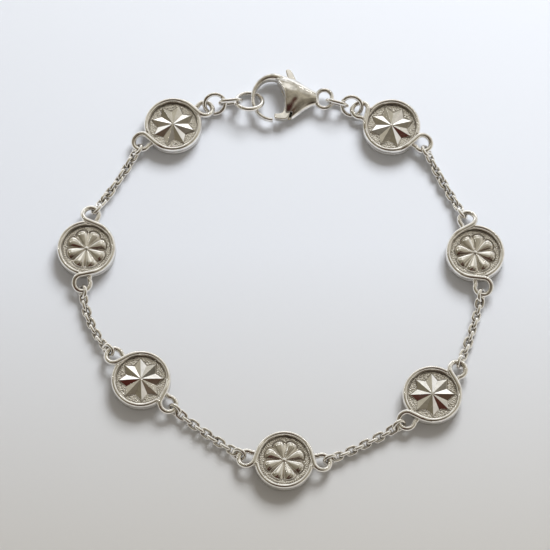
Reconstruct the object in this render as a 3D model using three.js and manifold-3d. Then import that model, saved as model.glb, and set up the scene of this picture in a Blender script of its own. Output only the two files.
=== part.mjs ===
// Station bracelet: seven cast medallions on fine cable chain, closed by a lobster clasp.
// It lies flat as a closed loop. Millimetres, +Z up, the loop's box centred on the origin and the
// floor at z = 0.
import * as THREE from 'three';
import { mergeVertices } from 'three/addons/utils/BufferGeometryUtils.js';
import Module from 'manifold-3d';

const wasm = await Module();
wasm.setup();

// ---------------------------------------------------------------- driving dimensions
const STATION = {
  radius: 4.6,          // outer edge of the cup and of its rim
  height: 2.2,          // floor to the top of the rim
  ground: 1.4,          // level of the recessed ground that carries the relief
  rimWidth: 0.86,       // rim wire, seen from above
  reliefRoot: 0.3,      // depth to which the relief is let into the ground at its middle
  sides: 20,
  turn: 4,              // of the sides about the middle, in degrees
};

// Outside and rim of the cup, from its flat back to its ground: distance in from the outer edge, and level.
const CUP_WALL = [
  { inset: 0.3,  level: 0 },
  { inset: 0,    level: 0.4 },
  { inset: 0.2,  level: 1.06 },      // groove between the cup and the rim wire
  { inset: 0,    level: 1.4 },
  { inset: 0.12, level: 1.94 },
  { inset: STATION.rimWidth / 2, level: STATION.height },
  { inset: STATION.rimWidth,     level: 1.8 },
  { inset: STATION.rimWidth,     level: STATION.ground },
];
const EYE = {
  reach: 5.75,          // medallion centre to eye centre
  outer: 3.06,          // outer diameter of the eye
  wire: 0.76,
  level: 1.2,           // height of the eye's wire
  shoulder: [1.6, 1.42], // heights at which the wire leaves the rim
  lead: 22,             // angle round the rim that it follows before it leaves
  turn: 35,             // angle between the points that carry it round the eye
  points: 9,
  end: 14.5,            // angle round the rim at which it ends against the cup
};
const CHAIN = {
  wire: 0.38,
  width: 1.46,          // outer width of a link
  links: 11,            // in each stretch, the two end links among them
  endLength: 1.84,      // end link, wire centre to wire centre
  endWidth: 2.12,
  contact: 0.31,        // wire centres of two hooked links, less than one wire apart, so that they join
  start: 0.45,          // eye centre to the end link's wire
  lie: 0.8,             // height of the chain's axis where it lies on the floor
  hang: 1.1,            // and where the end links hang in the eyes
  fall: [1.6, 4.2],     // distances from the eye between which it comes down
};
const CLASP = {
  level: 1.42,          // mid-height of the clasp
  hookCentre: [-1.4, 30.55],
  hookReach: [3.1, 3.65],
  squareness: 2.6,      // of the body's cross-sections, where 2 is an ellipse
  slot: 1.44,           // height of the lever's slot
  lever: 1.0,           // thickness of the lever
  pin: [1.7, 32.2],
  pinRadius: 0.28,
  pinSeat: 0.2,         // depth to which each end of the pin is set in the body
  pinHole: 0.5,
};
const TAIL = { x: 6.8, y: 30.5, length: 3.85, width: 3.15, wire: 0.74 };

// Edge of the body along the hook's opening: straight up from the mouth, then round an ellipse.
const OPENING = {
  edge: 0.86, mouth: 25, shoulder: 30.0, centre: -1.64, reach: [2.5, 3.5], angles: [12, 28, 44, 60],
  top: [-0.6, 33.35], far: [-4, 33.4],
};

// Each station: place, direction of travel round the loop, and the side of the rim that each eye's
// wire runs into (+1 is the side of the loop's inside, -1 the outer side).
const STATIONS = [
  { name: 'station_1_star',   motif: 'star',   x: -17.1, y: 26.0,  heading: -150.3, enter: -1, leave: 1 },
  { name: 'station_2_flower', motif: 'flower', x: -30.3, y: 5.2,   heading: -95.5,  enter: 1,  leave: 1 },
  { name: 'station_3_star',   motif: 'star',   x: -21.5, y: -16.2, heading: -42.8,  enter: 1,  leave: 1 },
  { name: 'station_4_flower', motif: 'flower', x: 0.4,   y: -29.0, heading: -3.1,   enter: 1,  leave: 1 },
  { name: 'station_5_star',   motif: 'star',   x: 23.0,  y: -18.6, heading: 46.1,   enter: -1, leave: -1 },
  { name: 'station_6_flower', motif: 'flower', x: 30.1,  y: 4.5,   heading: 101.0,  enter: 1,  leave: 1 },
  { name: 'station_7_star',   motif: 'star',   x: 17.4,  y: 25.8,  heading: 149.9,  enter: 1,  leave: 1 },
];

// Sideways bow of each chain stretch at its middle, positive to the inside of the loop.
const CHAIN_BOWS = [0.35, -1.2, -0.25, -0.3, -0.35, 0.3];

// Rings of the relief, from the edge, which lies under the ground, to the middle: radius and height over
// the ground on the crest of each of the eight rays, on its shoulder and in the valley between two rays.
const RELIEF = {
  star: {
    top: 0.62,
    rings: [
      { crest: [3.66, -0.05], valley: [2.26, -0.05] },
    ],
  },
  flower: {
    top: 0.42,
    rings: [
      { crest: [3.05, -0.05], shoulder: [2.92, -0.05], valley: [2.42, -0.05] },
      { crest: [2.55, 0.52], shoulder: [2.4, 0.38], valley: [2.1, 0.06] },
    ],
  },
};
const RAYS = 8;

// Rings and links beside the clasp. size is the outer length and width and the wire; place is the
// middle; roll is the turn about the long axis, which points along the heading.
const RINGS = [
  { name: 'jump_ring_left',  size: [3.9, 3.9, 0.64], place: [-10.55, 29.64, 1.45], heading: 10,  roll: 45 },
  { name: 'link_left',       size: [4.0, 2.8, 0.58], place: [-8.05, 29.99, 1.49],  heading: 6,   roll: 98 },
  { name: 'clasp_ring',      size: [4.9, 4.9, 0.72], place: [-5.09, 30.1, 1.46],   heading: -3,  roll: -32 },
  { name: 'link_right',      size: [3.9, 2.8, 0.6],  place: [8.8, 29.8, 1.46],     heading: -16, roll: 104 },
  { name: 'jump_ring_right', size: [3.8, 3.8, 0.64], place: [11.15, 29.27, 1.45],  heading: -10, roll: 46 },
];

// Hook of the clasp round its opening: angle, width seen from above and thickness of the bar.
const HOOK = [
  { angle: 52,  width: 1.3,  thick: 2.2 },
  { angle: 72,  width: 1.3,  thick: 2.1 },
  { angle: 92,  width: 1.22, thick: 1.86 },
  { angle: 112, width: 1.08, thick: 1.6 },
  { angle: 132, width: 0.94, thick: 1.34 },
  { angle: 152, width: 0.8,  thick: 1.1 },
  { angle: 172, width: 0.7,  thick: 0.98 },
  { angle: 192, width: 0.66, thick: 0.96 },
  { angle: 212, width: 0.66, thick: 0.96 },
  { angle: 232, width: 0.66, thick: 0.98 },
  { angle: 250, width: 0.66, thick: 1.0 },
  { angle: 268, width: 0.66, thick: 0.98 },
];

// Teardrop body of the clasp: cross-sections from the opening to the tail.
const BODY = [
  { x: -0.6, low: 26.95, high: 34.35, thick: 2.3 },
  { x: 0.6,  low: 26.85, high: 34.25, thick: 2.7 },
  { x: 1.5,  low: 27.05, high: 33.95, thick: 2.84 },
  { x: 2.5,  low: 27.65, high: 33.5,  thick: 2.8 },
  { x: 3.4,  low: 28.35, high: 32.85, thick: 2.55 },
  { x: 4.25, low: 28.95, high: 32.25, thick: 2.2 },
  { x: 4.95, low: 29.4,  high: 31.75, thick: 1.8 },
  { x: 5.5,  low: 29.85, high: 31.25, thick: 1.2 },
];

// ---------------------------------------------------------------- small tools
const DEG = Math.PI / 180;
const REACH_THROUGH = 2.4;      // half the height of a cutter that passes right through the clasp
const flat = (x, y) => new THREE.Vector2(x, y);
const along = (degrees) => [Math.cos(degrees * DEG), Math.sin(degrees * DEG)];

// Turns a closed geometry into a solid, with its faces outwards whichever way they were wound.
function solid(geometry) {
  const bare = geometry.clone();
  bare.deleteAttribute('normal');
  bare.deleteAttribute('uv');
  const merged = mergeVertices(bare, 1e-5);
  const index = Uint32Array.from(merged.index.array);
  const points = Float32Array.from(merged.attributes.position.array);
  const corner = (i) => new THREE.Vector3().fromArray(points, index[i] * 3);
  let volume = 0;
  for (let i = 0; i < index.length; i += 3) {
    volume += corner(i).dot(corner(i + 1).cross(corner(i + 2)));
  }
  if (volume < 0) {
    for (let i = 0; i < index.length; i += 3) {
      [index[i], index[i + 1]] = [index[i + 1], index[i]];
    }
  }
  return new wasm.Manifold(new wasm.Mesh({ numProp: 3, vertProperties: points, triVerts: index }));
}

const join = (solids) => solids.reduce((whole, next) => whole.add(next));

function geometryOf(body) {
  const mesh = body.getMesh();
  const geometry = new THREE.BufferGeometry();
  geometry.setAttribute('position', new THREE.BufferAttribute(Float32Array.from(mesh.vertProperties), 3));
  geometry.setIndex(Array.from(mesh.triVerts));
  geometry.computeVertexNormals();
  return geometry;
}

// A loft through rings of equal point counts, closed at each end by a fan to the given or mean point.
function loft(rings, firstTip, lastTip) {
  const count = rings[0].length;
  const mean = (ring) => ring.reduce((sum, p) => sum.add(p), new THREE.Vector3()).divideScalar(count);
  const points = [...rings.flat(), firstTip ?? mean(rings[0]), lastTip ?? mean(rings.at(-1))];
  const first = rings.length * count;
  const last = first + 1;
  const faces = [];
  for (let k = 0; k < count; k += 1) {
    const next = (k + 1) % count;
    for (let r = 0; r + 1 < rings.length; r += 1) {
      const a = r * count + k;
      const b = r * count + next;
      faces.push(a, b, b + count, a, b + count, a + count);
    }
    faces.push(first, next, k);
    faces.push(last, (rings.length - 1) * count + k, (rings.length - 1) * count + next);
  }
  const geometry = new THREE.BufferGeometry().setFromPoints(points);
  geometry.setIndex(faces);
  return geometry;
}

// A flat outline raised between two levels.
function slab(outline, bottom, top) {
  const geometry = new THREE.ExtrudeGeometry(new THREE.Shape(outline), {
    depth: top - bottom, bevelEnabled: false, steps: 1,
  });
  return geometry.translate(0, 0, bottom);
}

function disc(x, y, radius, bottom, top, sides) {
  const geometry = new THREE.CylinderGeometry(radius, radius, top - bottom, sides);
  return geometry.rotateX(Math.PI / 2).translate(x, y, (top + bottom) / 2);
}

// Round wire along a curve.
function wireAlong(curve, diameter, sides, steps) {
  const section = new THREE.Shape();
  for (let k = 0; k < sides; k += 1) {
    const [c, s] = along((360 * k) / sides);
    const draw = k === 0 ? 'moveTo' : 'lineTo';
    section[draw]((c * diameter) / 2, (s * diameter) / 2);
  }
  return new THREE.ExtrudeGeometry(section, { steps, bevelEnabled: false, extrudePath: curve });
}

// An oval ring of round wire in the XY plane, long along X: a torus parted along the Y axis, which
// none of its corners may lie on. Its corners lie on the true oval, or its flats do if that is asked.
function ovalRing(length, width, wire, sides, steps, flatsOnOval = false) {
  const radius = (width - wire) / 2;
  const part = (length - width) / 2;
  const geometry = new THREE.TorusGeometry(radius, wire / 2, sides, steps).rotateZ(Math.PI / steps);
  if (flatsOnOval) geometry.scale(1 / Math.cos(Math.PI / steps), 1 / Math.cos(Math.PI / steps), 1);
  const position = geometry.attributes.position;
  for (let i = 0; i < position.count; i += 1) {
    position.setX(i, position.getX(i) + Math.sign(position.getX(i)) * part);
  }
  return geometry;
}

// Rolls a piece about its long axis, tips it, turns it to its heading and puts it in its place.
function set(geometry, { x, y, z, roll, pitch = 0, heading }) {
  const turn = new THREE.Euler(roll * DEG, pitch * DEG, heading * DEG, 'ZYX');
  const matrix = new THREE.Matrix4().makeRotationFromEuler(turn).setPosition(x, y, z);
  return geometry.clone().applyMatrix4(matrix);
}

// ---------------------------------------------------------------- stations
// Turned cup with its rim: flat back, lower wall, groove, rounded rim and recessed ground.
function cup() {
  const wall = CUP_WALL.map(({ inset, level }) => flat(STATION.radius - inset, level));
  const profile = [flat(0, 0), ...wall, flat(0, STATION.ground)];
  return new THREE.LatheGeometry(profile, STATION.sides).rotateX(Math.PI / 2).rotateZ(STATION.turn * DEG);
}

// Eight-rayed relief: rings that run over a crest, a shoulder and a valley in each eighth of a turn.
// The eyes' axis runs along two of the star's rays, and between two of the flower's petals.
function relief(motif) {
  const { rings, top } = RELIEF[motif];
  const lines = rings[0].shoulder ? ['crest', 'shoulder', 'valley', 'shoulder'] : ['crest', 'valley'];
  const count = RAYS * lines.length;
  const start = motif === 'flower' ? lines.length / 2 : 0;
  const ringPoints = (row) => Array.from({ length: count }, (_, k) => {
    const [radius, rise] = row[lines[k % lines.length]];
    const [c, s] = along((360 * (k + start)) / count);
    return new THREE.Vector3(c * radius, s * radius, STATION.ground + rise);
  });
  const underside = new THREE.Vector3(0, 0, STATION.ground - STATION.reliefRoot);
  const peak = new THREE.Vector3(0, 0, STATION.ground + top);
  return loft(rings.map(ringPoints), underside, peak);
}

// The wire that leaves the rim, crosses in front of the eye, swings round it and ends against the cup.
// side +1 takes it from the half of the rim at positive y.
function scroll(side) {
  const rim = STATION.radius - STATION.rimWidth / 2;
  const eye = (EYE.outer - EYE.wire) / 2;
  const lean = Math.acos((rim + eye) / EYE.reach) / DEG;
  const [high, low] = EYE.shoulder;
  const onCircle = (centre, radius, angle, level) => {
    const [c, s] = along(angle);
    return new THREE.Vector3(centre + radius * c, side * radius * s, level);
  };
  const round = Array.from({ length: EYE.points }, (_, k) => (
    onCircle(EYE.reach, eye, 180 + lean + k * EYE.turn, EYE.level)
  ));
  const points = [
    onCircle(0, rim, lean + EYE.lead, high), onCircle(0, rim, lean, low), ...round,
    onCircle(0, rim, EYE.end, EYE.level),
  ];
  return wireAlong(new THREE.CatmullRomCurve3(points, false, 'centripetal'), EYE.wire, 4, 12);
}

function station({ motif, enter, leave }) {
  const back = (geometry) => geometry.rotateZ(Math.PI);
  return join([
    solid(cup()), solid(relief(motif)), solid(scroll(leave)), solid(back(scroll(-enter))),
  ]);
}

function eyeCentre(row, way) {
  const [c, s] = along(row.heading);
  return new THREE.Vector3(row.x + way * EYE.reach * c, row.y + way * EYE.reach * s, EYE.level);
}

// ---------------------------------------------------------------- chain
// Route of a stretch: a shallow bow in plan that comes down from each eye to the floor.
class ChainRoute extends THREE.Curve {
  constructor(from, to, bow) {
    super();
    this.from = from;
    this.to = to;
    this.side = new THREE.Vector3().subVectors(to, from).cross(new THREE.Vector3(0, 0, -1)).setLength(bow);
  }

  getPoint(t, target = new THREE.Vector3()) {
    const run = this.from.distanceTo(this.to) * Math.min(t, 1 - t);
    target.lerpVectors(this.from, this.to, t).addScaledVector(this.side, 4 * t * (1 - t));
    target.z = CHAIN.hang + (CHAIN.lie - CHAIN.hang) * THREE.MathUtils.smoothstep(run, ...CHAIN.fall);
    return target;
  }
}

function chainStretch(from, to, bow) {
  const route = new ChainRoute(from, to, bow);
  const total = route.getLength();
  const inner = CHAIN.links - 2;
  const span = total - 2 * CHAIN.start - 2 * CHAIN.endLength + (CHAIN.links - 1) * CHAIN.contact;
  const solids = [];
  let place = CHAIN.start;
  for (let i = 0; i < CHAIN.links; i += 1) {
    const isEnd = i === 0 || i === CHAIN.links - 1;
    const length = isEnd ? CHAIN.endLength : span / inner;
    const width = isEnd ? CHAIN.endWidth : CHAIN.width;
    const middle = (place + length / 2) / total;
    const point = route.getPointAt(middle);
    const run = route.getTangentAt(middle);
    const link = ovalRing(length + CHAIN.wire, width, CHAIN.wire, 4, 8, true);
    solids.push(solid(set(link, {
      x: point.x, y: point.y, z: point.z,
      heading: Math.atan2(run.y, run.x) / DEG,
      pitch: -Math.asin(run.z) / DEG,
      roll: i % 2 === 0 ? 90 : 0,
    })));
    place += length - CHAIN.contact;
  }
  return join(solids);
}

// ---------------------------------------------------------------- clasp
// A ring of points round an upright oval section. Its sides and top are flatter than an ellipse's where
// squareness is over 2.
function ovalSection(centre, across, halfWidth, halfThick, sides, squareness = 2) {
  const squared = (share) => Math.sign(share) * Math.abs(share) ** (2 / squareness);
  const points = [];
  for (let k = 0; k < sides; k += 1) {
    const [c, s] = along((360 * (k + 0.5)) / sides);
    points.push(new THREE.Vector3().copy(centre).addScaledVector(across, squared(c) * halfWidth)
      .add(new THREE.Vector3(0, 0, squared(s) * halfThick)));
  }
  return points;
}

function hook() {
  const rings = HOOK.map(({ angle, width, thick }) => {
    const [c, s] = along(angle);
    const centre = new THREE.Vector3(
      CLASP.hookCentre[0] + CLASP.hookReach[0] * c,
      CLASP.hookCentre[1] + CLASP.hookReach[1] * s,
      CLASP.level,
    );
    const across = new THREE.Vector3(c / CLASP.hookReach[0], s / CLASP.hookReach[1], 0).normalize();
    return ovalSection(centre, across, width / 2, thick / 2, 8);
  });
  return loft(rings);
}

function claspShell() {
  const across = new THREE.Vector3(0, 1, 0);
  const rings = BODY.map(({ x, low, high, thick }) => {
    const centre = new THREE.Vector3(x, (low + high) / 2, CLASP.level);
    return ovalSection(centre, across, (high - low) / 2, thick / 2, 12, CLASP.squareness);
  });
  return loft(rings);
}

// Everything to the left of the body's edge along the opening of the hook.
function openingOutline() {
  const { edge, mouth, shoulder, centre, reach, angles, top, far } = OPENING;
  const round = angles.map((angle) => {
    const [c, s] = along(angle);
    return flat(centre + reach[0] * c, shoulder + reach[1] * s);
  });
  return [
    flat(edge, mouth), flat(edge, shoulder), ...round, flat(...top), flat(...far), flat(far[0], mouth),
  ];
}

// Room for the lever: open below and to the left, and at the top for the thumb tab.
const SLOT_OUTLINE = [
  flat(-1, 26.2), flat(1.55, 26.2), flat(1.6, 27.5), flat(2.3, 29.4), flat(2.95, 32.0), flat(3.2, 33.2),
  flat(3.2, 35.0), flat(0.75, 35.0), flat(0.75, 32.9), flat(0.45, 32.2), flat(-1, 32.2),
];

const LEVER_OUTLINE = [
  flat(0.9, 26.9), flat(1.25, 27.6), flat(1.95, 29.5), flat(2.5, 31.9), flat(2.55, 33.0), flat(2.3, 33.75),
  flat(1.7, 35.1), flat(1.3, 35.5), flat(0.85, 35.5), flat(0.65, 35.15), flat(1.05, 33.95), flat(1.0, 33.0),
  flat(0.75, 31.2), flat(0.6, 29.5), flat(0.3, 28.15), flat(-0.1, 27.84), flat(-0.85, 27.84),
  flat(-1.12, 27.6), flat(-1.1, 27.38), flat(-0.6, 27.06), flat(0.3, 26.85),
];

function claspBody() {
  const { level, slot, pin, pinRadius, pinSeat } = CLASP;
  const tail = ovalRing(TAIL.length, TAIL.width, TAIL.wire, 6, 12).rotateZ(Math.PI / 2);
  return solid(claspShell())
    .subtract(solid(slab(openingOutline(), level - REACH_THROUGH, level + REACH_THROUGH)))
    .add(solid(hook()))
    .add(solid(tail.translate(TAIL.x, TAIL.y, level)))
    .subtract(solid(slab(SLOT_OUTLINE, level - slot / 2, level + slot / 2)))
    .add(solid(disc(...pin, pinRadius, level - slot / 2 - pinSeat, level + slot / 2 + pinSeat, 10)));
}

function claspLever() {
  const { level, lever, pin, pinHole } = CLASP;
  return solid(slab(LEVER_OUTLINE, level - lever / 2, level + lever / 2))
    .subtract(solid(disc(...pin, pinHole, level - REACH_THROUGH, level + REACH_THROUGH, 10)));
}

// ---------------------------------------------------------------- assembly
const silver = (colour, roughness) => new THREE.MeshStandardMaterial({
  color: colour, metalness: 1.0, roughness,
});
const bracelet = new THREE.Group();

function addPiece(name, body, material) {
  const piece = new THREE.Mesh(geometryOf(body), material);
  piece.name = name;
  bracelet.add(piece);
  return piece;
}

for (const row of STATIONS) {
  const piece = addPiece(row.name, station(row), silver(0xb9b2a6, 0.28));
  piece.position.set(row.x, row.y, 0);
  piece.rotation.z = row.heading * DEG;
}

CHAIN_BOWS.forEach((bow, i) => {
  const from = eyeCentre(STATIONS[i], 1);
  const to = eyeCentre(STATIONS[i + 1], -1);
  addPiece(`chain_${i + 1}`, chainStretch(from, to, bow), silver(0xa9a297, 0.3));
});

for (const { name, size, place: [x, y, z], heading, roll } of RINGS) {
  const steps = size[0] > size[1] ? 10 : 12;
  const ring = ovalRing(...size, 6, steps);
  addPiece(name, solid(set(ring, { x, y, z, heading, roll })), silver(0xb4ada2, 0.22));
}

addPiece('clasp_body', claspBody(), silver(0xb8b0a4, 0.16));
addPiece('clasp_lever', claspLever(), silver(0xada597, 0.2));

// The loop's box is centred on the origin.
const box = new THREE.Box3().setFromObject(bracelet, true);
bracelet.position.set(-(box.min.x + box.max.x) / 2, -(box.min.y + box.max.y) / 2, -box.min.z);

export default bracelet;
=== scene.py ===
"""Station bracelet: the fine surfaces and finishes of its medallions, cable chain, rings and clasp.

Tables and shapes are in millimetres, in the frame that the bracelet was drawn in; meshes are in metres.
"""
from collections import namedtuple

import bpy
import numpy as np
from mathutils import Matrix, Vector


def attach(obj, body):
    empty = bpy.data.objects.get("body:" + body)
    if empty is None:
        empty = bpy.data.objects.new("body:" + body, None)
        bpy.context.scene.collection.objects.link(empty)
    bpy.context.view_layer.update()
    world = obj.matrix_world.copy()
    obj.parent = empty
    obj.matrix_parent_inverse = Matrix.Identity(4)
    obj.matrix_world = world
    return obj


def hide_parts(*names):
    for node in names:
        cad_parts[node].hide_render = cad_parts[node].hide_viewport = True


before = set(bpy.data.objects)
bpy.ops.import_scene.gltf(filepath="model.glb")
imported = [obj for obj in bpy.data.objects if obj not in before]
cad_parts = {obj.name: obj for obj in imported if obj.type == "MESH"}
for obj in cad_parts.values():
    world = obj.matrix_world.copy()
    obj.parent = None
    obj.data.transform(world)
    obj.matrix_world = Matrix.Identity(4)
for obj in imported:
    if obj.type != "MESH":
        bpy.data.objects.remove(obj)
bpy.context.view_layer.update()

bl_info = {
    "name": "Station bracelet",
    "version": (1, 0, 0),
    "blender": (4, 5, 0),
    "location": "3D View > Sidebar > Bracelet",
    "description": "Silver bracelet of cast medallions on cable chain, with a lobster clasp",
    "category": "Add Mesh",
}

MM = 0.001

# Each medallion: its node and motif, its place, the way the loop runs through it, and the side of the
# rim that each eye's wire comes from (+1 the side of the loop's inside).
Station = namedtuple("Station", "node motif x y heading enter leave")
STATIONS = [
    Station("station_1_star", "star", -17.1, 26.0, -150.3, -1, 1),
    Station("station_2_flower", "flower", -30.3, 5.2, -95.5, 1, 1),
    Station("station_3_star", "star", -21.5, -16.2, -42.8, 1, 1),
    Station("station_4_flower", "flower", 0.4, -29.0, -3.1, 1, 1),
    Station("station_5_star", "star", 23.0, -18.6, 46.1, -1, -1),
    Station("station_6_flower", "flower", 30.1, 4.5, 101.0, 1, 1),
    Station("station_7_star", "star", 17.4, 25.8, 149.9, 1, 1),
]
EYE_REACH = 5.7        # middle of a medallion to the middle of each eye
EYE_LEVEL = 1.2

# Sideways bow of each chain stretch at its middle, positive to the inside of the loop.
CHAIN_BOWS = [0.35, -1.2, -0.25, -0.3, -0.35, 0.3]

# Rings and links beside the clasp: outer length and width, wire, middle, heading and roll about it.
Ring = namedtuple("Ring", "node length width wire x y z heading roll")
RINGS = [
    Ring("jump_ring_left", 3.94, 3.94, 0.68, -10.55, 29.64, 1.45, 10, 42),
    Ring("link_left", 4.04, 2.84, 0.62, -8.05, 29.99, 1.47, 6, 98),
    Ring("clasp_ring", 4.94, 4.94, 0.76, -5.09, 30.1, 1.46, -3, -30),
    Ring("link_right", 3.94, 2.84, 0.64, 8.8, 29.8, 1.46, -16, 104),
    Ring("jump_ring_right", 3.84, 3.84, 0.68, 11.15, 29.27, 1.45, -10, 43.5),
]

# Hook of the clasp round its opening: angle, width seen from above and thickness of the bar.
HOOK_CENTRE = (-1.4, 30.55)
HOOK_REACH = (3.1, 3.65)               # half axes of the ellipse that the bar follows
HOOK_SQUARENESS = 2.3
HOOK = np.array([
    (52, 1.3, 2.2), (72, 1.3, 2.1), (92, 1.22, 1.86), (112, 1.08, 1.6), (132, 0.94, 1.34), (152, 0.8, 1.1),
    (172, 0.7, 0.98), (192, 0.66, 0.96), (212, 0.66, 0.96), (232, 0.66, 0.98), (250, 0.66, 1.0),
    (271, 0.66, 0.98),
])

# Teardrop body of the clasp: place along it, low and high edge, and thickness.
BODY = np.array([
    (-0.6, 26.95, 34.35, 2.24), (0.6, 26.85, 34.25, 2.63), (1.5, 27.05, 33.95, 2.76),
    (2.5, 27.65, 33.5, 2.73), (3.4, 28.3, 32.9, 2.5), (4.25, 28.85, 32.35, 2.2), (4.95, 29.2, 31.95, 1.95),
    (5.6, 29.45, 31.6, 1.6),
])
BODY_SQUARENESS = 2.1
BODY_LEAN = 0.14       # rise of the body's upper face for each millimetre towards the thumb tab
CLASP_LEVEL = 1.42     # mid-height of the clasp
SLOT_HEIGHT = 1.26
LEVER_HEIGHT = 0.96
PIN = (1.7, 32.2)
PIN_RADIUS = 0.28
PIN_SEAT = 0.2         # depth to which each end of the pin is set in the body
PIN_HOLE = 0.5
THROUGH = (-1, 4)      # levels of a cutter that passes right through the clasp
TAIL = Ring("tail", 3.85, 3.15, 0.74, 6.8, 30.5, CLASP_LEVEL, 90, 0)

# Lip of the opening, from the gate's foot up to the root of the hook.
LIP = np.array([
    (0.78, 27.5), (0.72, 28.4), (0.7, 29.3), (0.68, 30.2), (0.6, 31.0), (0.36, 31.8), (-0.02, 32.5),
    (-0.5, 33.1),
])
LIP_HALF_WIDTH = 0.24
LIP_HALF_HEIGHT = 1.32
LIP_REACH = 3.75       # distance from the hook's centre at which the body would have no height left
LIP_RISE = 0.05        # how far the lip stands out of the body

# Edge of the body along the hook's opening, the slot for the lever, and the lever, all seen from above.
OPENING = [
    (0.86, 25), (0.86, 30.0), (0.81, 30.73), (0.57, 31.64), (0.16, 32.43), (-0.39, 33.03), (-0.6, 33.35),
    (-4, 33.4), (-4, 25),
]
SLOT = [
    (-1, 26.2), (1.55, 26.2), (1.6, 27.5), (2.3, 29.4), (2.95, 32.0), (3.2, 33.2), (3.2, 35.0),
    (0.75, 35.0), (0.75, 32.9), (0.45, 32.2), (-1, 32.2),
]
LEVER = [
    (0.9, 26.9), (1.25, 27.6), (1.95, 29.5), (2.5, 31.9), (2.55, 33.0), (2.3, 33.75), (1.7, 35.1),
    (1.3, 35.5), (0.85, 35.5), (0.65, 35.15), (1.05, 33.95), (1.0, 33.0), (0.75, 31.2), (0.6, 29.5),
    (0.3, 28.15), (-0.1, 27.9), (-1.0, 27.86), (-1.12, 27.8), (-1.13, 27.15), (-1.05, 27.0), (-0.5, 26.9),
    (0.3, 26.85),
]


# ------ what a user may change
def a_length(name, description, default):
    """A length in metres that a user may change."""
    return bpy.props.FloatProperty(
        name=name, description=description, default=default, unit="LENGTH", precision=6)


def a_colour(name, description, default):
    """A colour that a user may change."""
    return bpy.props.FloatVectorProperty(
        name=name, description=description, default=default, size=3, min=0, max=1, subtype="COLOR")


class MedallionSettings(bpy.types.PropertyGroup):
    radius: a_length("Radius", "Outer edge of the rim", 0.00458)
    rim_wire: a_length("Rim wire", "Thickness of the rim", 0.00076)
    eye_wire: a_length("Eye wire", "Thickness of the scrolled eyes", 0.00082)
    star_height: a_length("Star", "Height of the star over the ground", 0.00072)
    petal_height: a_length("Petals", "Height of the petals over the ground", 0.00052)
    grain: a_length("Grain", "Spacing of the pebbles of the ground", 0.00027)


class ChainSettings(bpy.types.PropertyGroup):
    wire: a_length("Wire", "Thickness of the chain's wire", 0.00051)
    width: a_length("Link width", "Outer width of a link", 0.00162)
    links: bpy.props.IntProperty(
        name="Links", description="Links in each stretch, its end links among them", default=11, min=5)
    twist: bpy.props.FloatProperty(
        name="Twist", description="Most that a link is turned out of true", default=0.2, subtype="ANGLE")


class ClaspSettings(bpy.types.PropertyGroup):
    voxel: a_length("Fineness", "Size of the faces of the clasp", 0.00006)
    rounding: bpy.props.IntProperty(
        name="Rounding", description="How far the polishing has rounded the edges", default=9, min=0)


class FinishSettings(bpy.types.PropertyGroup):
    silver: a_colour("Silver", "Colour of the polished metal", (0.93, 0.9, 0.85))
    # Colour of real tarnish, and of the painted shade that the recess values lay on the metal
    tarnish: a_colour("Tarnish", "Colour of the metal in its recesses", (0.045, 0.032, 0.022))
    roughness: bpy.props.FloatProperty(
        name="Roughness", description="Roughness of the polished metal", default=0.1, min=0, max=1,
        subtype="FACTOR")


class StageSettings(bpy.types.PropertyGroup):
    floor: a_colour("Floor", "Colour of the floor", (0.84, 0.85, 0.885))
    elevation: bpy.props.FloatProperty(
        name="Elevation", description="Height of the camera over the floor, as an angle", default=1.2217,
        subtype="ANGLE")
    distance: a_length("Distance", "Camera to bracelet", 0.45)
    lens: bpy.props.FloatProperty(
        name="Lens", description="Focal length of the camera", default=190, unit="CAMERA")


# ------ numbers
def smooth_step(value, low, high):
    """0 below low, 1 above high, and 3 t squared minus 2 t cubed between them."""
    t = np.clip((value - low) / (high - low), 0, 1)
    return t * t * (3 - 2 * t)


def spline(knots, values, at):
    """Natural cubic spline through the values, one column for each quantity.

    The second derivatives solve the usual tridiagonal system, with 0 at both ends.
    """
    knots, values = np.asarray(knots, float), np.asarray(values, float)
    step = np.diff(knots)
    count = len(knots)
    system, right = np.eye(count), np.zeros_like(values)
    inner = np.arange(1, count - 1)
    system[inner, inner - 1] = step[:-1]
    system[inner, inner] = 2 * (step[:-1] + step[1:])
    system[inner, inner + 1] = step[1:]
    slope = np.diff(values, axis=0) / step[:, None]
    right[1:-1] = 6 * np.diff(slope, axis=0)
    bend = np.linalg.solve(system, right)
    i = np.clip(np.searchsorted(knots, at) - 1, 0, count - 2)
    h, a, b = step[i, None], (knots[i + 1] - at)[:, None], (at - knots[i])[:, None]
    return (bend[i] * a ** 3 + bend[i + 1] * b ** 3) / (6 * h) \
        + (values[i] / h - bend[i] * h / 6) * a + (values[i + 1] / h - bend[i + 1] * h / 6) * b


def turned(points, heading=0.0, pitch=0.0, roll=0.0):
    """Points turned by roll about X, then pitch about Y, then heading about Z, all in radians."""
    (ch, sh), (cp, sp), (cr, sr) = [(np.cos(angle), np.sin(angle)) for angle in (heading, pitch, roll)]
    about_z = np.array([[ch, -sh, 0], [sh, ch, 0], [0, 0, 1]])
    about_y = np.array([[cp, 0, sp], [0, 1, 0], [-sp, 0, cp]])
    about_x = np.array([[1, 0, 0], [0, cr, -sr], [0, sr, cr]])
    return points @ (about_z @ about_y @ about_x).T


def unit(vectors):
    """Each vector over its own length."""
    return vectors / np.linalg.norm(vectors, axis=-1, keepdims=True)


def length_along(path):
    """Length of a path from its start to each of its points."""
    return np.concatenate([[0], np.cumsum(np.linalg.norm(np.diff(path, axis=0), axis=1))])


# ------ surfaces
Surface = namedtuple("Surface", "points quads triangles recess")


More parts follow.
